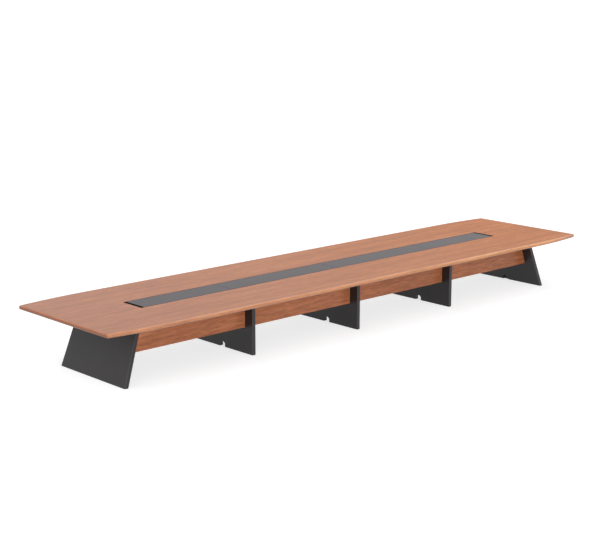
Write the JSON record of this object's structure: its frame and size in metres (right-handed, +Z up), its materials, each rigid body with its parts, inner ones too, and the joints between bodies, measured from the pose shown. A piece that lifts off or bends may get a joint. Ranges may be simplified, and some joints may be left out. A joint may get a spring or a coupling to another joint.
{
  "type": "conference table",
  "caption": "Long conference table with ends that curve in, a veneered top with a hinged cable channel down its middle, panel legs, leaning end legs and deep aprons.",
  "frame": {"origin": "on the floor under the middle of the table", "axes": "+X along the table, +Y across it towards the hinge side of the lids, +Z up"},
  "size_m": [8.256, 1.9, 0.75],
  "materials": {
    "top_veneer": "satin reddish-brown veneer, grain along the table",
    "edge_veneer": "satin reddish-brown rounded solid edge",
    "apron_veneer": "satin reddish-brown veneer, grain along the table",
    "leg_lacquer": "satin dark grey lacquer on board",
    "lid_laminate": "satin grey laminate on board",
    "rail_wood": "plain sealed wood",
    "dowel_wood": "bare beech",
    "trough_paint": "black powder coat",
    "hardware_steel": "zinc-plated steel"
  },
  "bodies": {
    "table": {"angle_brackets": "hardware_steel", "cable_trough_1": "trough_paint", "cable_trough_2": "trough_paint", "cable_trough_3": "trough_paint", "cable_trough_4": "trough_paint", "centre_leg": "leg_lacquer", "far_apron_1": "apron_veneer", "far_apron_2": "apron_veneer", "far_apron_3": "apron_veneer", "far_apron_4": "apron_veneer", "far_edge_strips": "edge_veneer", "far_top_board_1": "top_veneer", "far_top_board_2": "top_veneer", "far_top_board_3": "top_veneer", "far_top_board_4": "top_veneer", "fixed_hinge_leaves": "hardware_steel", "foot_inserts": "hardware_steel", "hinge_pins": "hardware_steel", "left_end_edge_strip": "edge_veneer", "left_end_leg": "leg_lacquer", "left_end_top_board": "top_veneer", "left_mid_leg": "leg_lacquer", "lid_rest_rails": "rail_wood", "near_apron_1": "apron_veneer", "near_apron_2": "apron_veneer", "near_apron_3": "apron_veneer", "near_apron_4": "apron_veneer", "near_edge_strips": "edge_veneer", "near_top_board_1": "top_veneer", "near_top_board_2": "top_veneer", "near_top_board_3": "top_veneer", "near_top_board_4": "top_veneer", "right_end_edge_strip": "edge_veneer", "right_end_leg": "leg_lacquer", "right_end_top_board": "top_veneer", "right_mid_leg": "leg_lacquer", "seam_plates": "hardware_steel", "wood_dowels": "dowel_wood", "wood_screws": "hardware_steel"},
    "lid_1": {"cable_lid_1": "lid_laminate", "lid_hinge_leaves_1": "hardware_steel"},
    "lid_2": {"cable_lid_2": "lid_laminate", "lid_hinge_leaves_2": "hardware_steel"},
    "lid_3": {"cable_lid_3": "lid_laminate", "lid_hinge_leaves_3": "hardware_steel"},
    "lid_4": {"cable_lid_4": "lid_laminate", "lid_hinge_leaves_4": "hardware_steel"},
    "left_end_foot_near": {"left_end_foot_near": "hardware_steel"},
    "left_end_foot_far": {"left_end_foot_far": "hardware_steel"},
    "right_end_foot_near": {"right_end_foot_near": "hardware_steel"},
    "right_end_foot_far": {"right_end_foot_far": "hardware_steel"},
    "left_mid_foot_near": {"left_mid_foot_near": "hardware_steel"},
    "left_mid_foot_far": {"left_mid_foot_far": "hardware_steel"},
    "centre_foot_near": {"centre_foot_near": "hardware_steel"},
    "centre_foot_far": {"centre_foot_far": "hardware_steel"},
    "right_mid_foot_near": {"right_mid_foot_near": "hardware_steel"},
    "right_mid_foot_far": {"right_mid_foot_far": "hardware_steel"}
  },
  "joints": [
    {"name": "lid_1_hinge", "type": "hinge", "parent": "table", "child": "lid_1", "pos_m": [0, 0.18, 0.747], "axis": [-1, 0, 0], "range_deg": [0, 100]},
    {"name": "lid_2_hinge", "type": "hinge", "parent": "table", "child": "lid_2", "pos_m": [0, 0.18, 0.747], "axis": [-1, 0, 0], "range_deg": [0, 100]},
    {"name": "lid_3_hinge", "type": "hinge", "parent": "table", "child": "lid_3", "pos_m": [0, 0.18, 0.747], "axis": [-1, 0, 0], "range_deg": [0, 100]},
    {"name": "lid_4_hinge", "type": "hinge", "parent": "table", "child": "lid_4", "pos_m": [0, 0.18, 0.747], "axis": [-1, 0, 0], "range_deg": [0, 100]},
    {"name": "left_end_foot_near_screw", "type": "slide", "parent": "table", "child": "left_end_foot_near", "axis": [0, 0, -1], "range_m": [0, 0.015]},
    {"name": "left_end_foot_far_screw", "type": "slide", "parent": "table", "child": "left_end_foot_far", "axis": [0, 0, -1], "range_m": [0, 0.015]},
    {"name": "right_end_foot_near_screw", "type": "slide", "parent": "table", "child": "right_end_foot_near", "axis": [0, 0, -1], "range_m": [0, 0.015]},
    {"name": "right_end_foot_far_screw", "type": "slide", "parent": "table", "child": "right_end_foot_far", "axis": [0, 0, -1], "range_m": [0, 0.015]},
    {"name": "left_mid_foot_near_screw", "type": "slide", "parent": "table", "child": "left_mid_foot_near", "axis": [0, 0, -1], "range_m": [0, 0.015]},
    {"name": "left_mid_foot_far_screw", "type": "slide", "parent": "table", "child": "left_mid_foot_far", "axis": [0, 0, -1], "range_m": [0, 0.015]},
    {"name": "centre_foot_near_screw", "type": "slide", "parent": "table", "child": "centre_foot_near", "axis": [0, 0, -1], "range_m": [0, 0.015]},
    {"name": "centre_foot_far_screw", "type": "slide", "parent": "table", "child": "centre_foot_far", "axis": [0, 0, -1], "range_m": [0, 0.015]},
    {"name": "right_mid_foot_near_screw", "type": "slide", "parent": "table", "child": "right_mid_foot_near", "axis": [0, 0, -1], "range_m": [0, 0.015]},
    {"name": "right_mid_foot_far_screw", "type": "slide", "parent": "table", "child": "right_mid_foot_far", "axis": [0, 0, -1], "range_m": [0, 0.015]}
  ]
}
